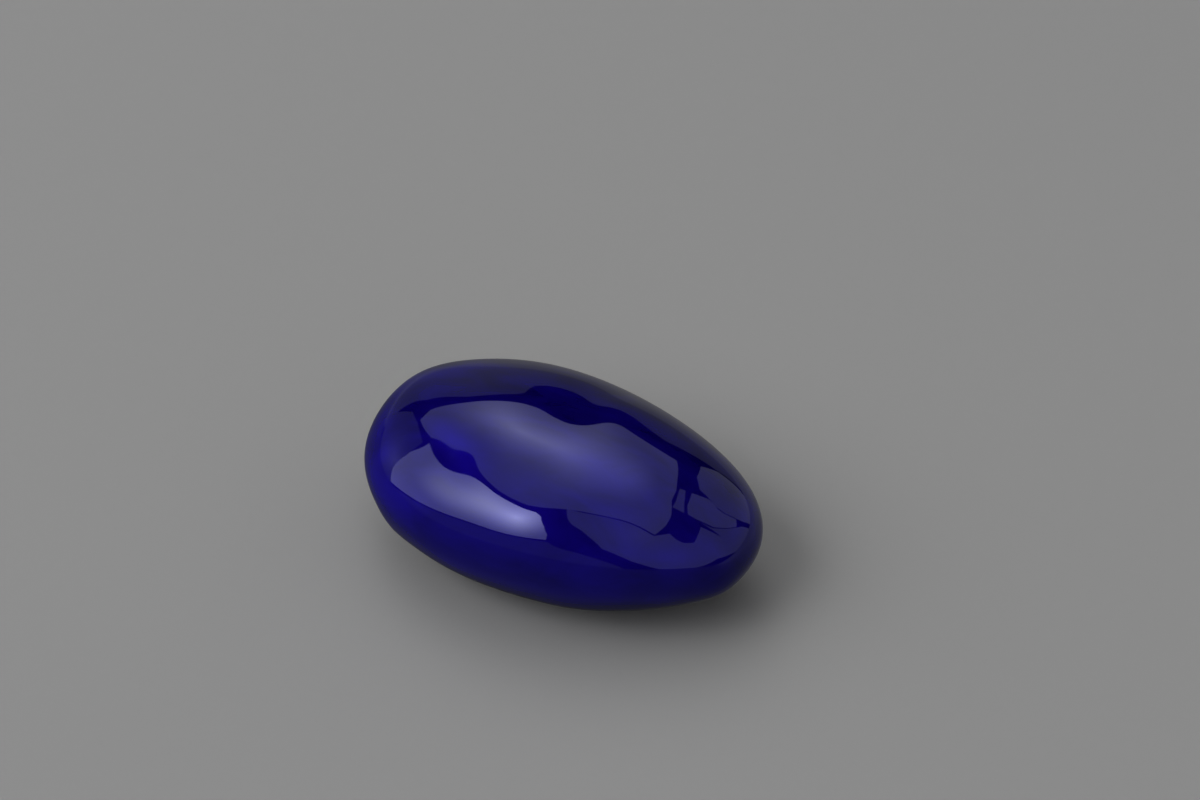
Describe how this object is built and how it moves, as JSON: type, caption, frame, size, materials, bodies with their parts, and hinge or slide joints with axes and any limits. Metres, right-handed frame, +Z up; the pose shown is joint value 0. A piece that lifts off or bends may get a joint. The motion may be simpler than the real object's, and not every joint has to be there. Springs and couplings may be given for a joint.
{
  "type": "pebble-shaped funeral urn",
  "caption": "Hollow pebble-shaped keepsake urn of blue glazed stoneware, lying on a small flat foot, closed from below by a stopper.",
  "frame": {"origin": "on the table, under the middle of the urn, at the centre of the filling hole", "axes": "+X along the length, +Y across the width, +Z up"},
  "size_m": [0.1182, 0.075, 0.049],
  "materials": {
    "glazed_stoneware": "deep cobalt glaze, fired to a mirror gloss over a smooth slip-cast body; bare and matt on the foot, round the filling hole and inside",
    "stopper_rubber": "moulded, soft and matt"
  },
  "bodies": {
    "root": {"body": "glazed_stoneware", "stopper": "stopper_rubber"}
  },
  "joints": []
}
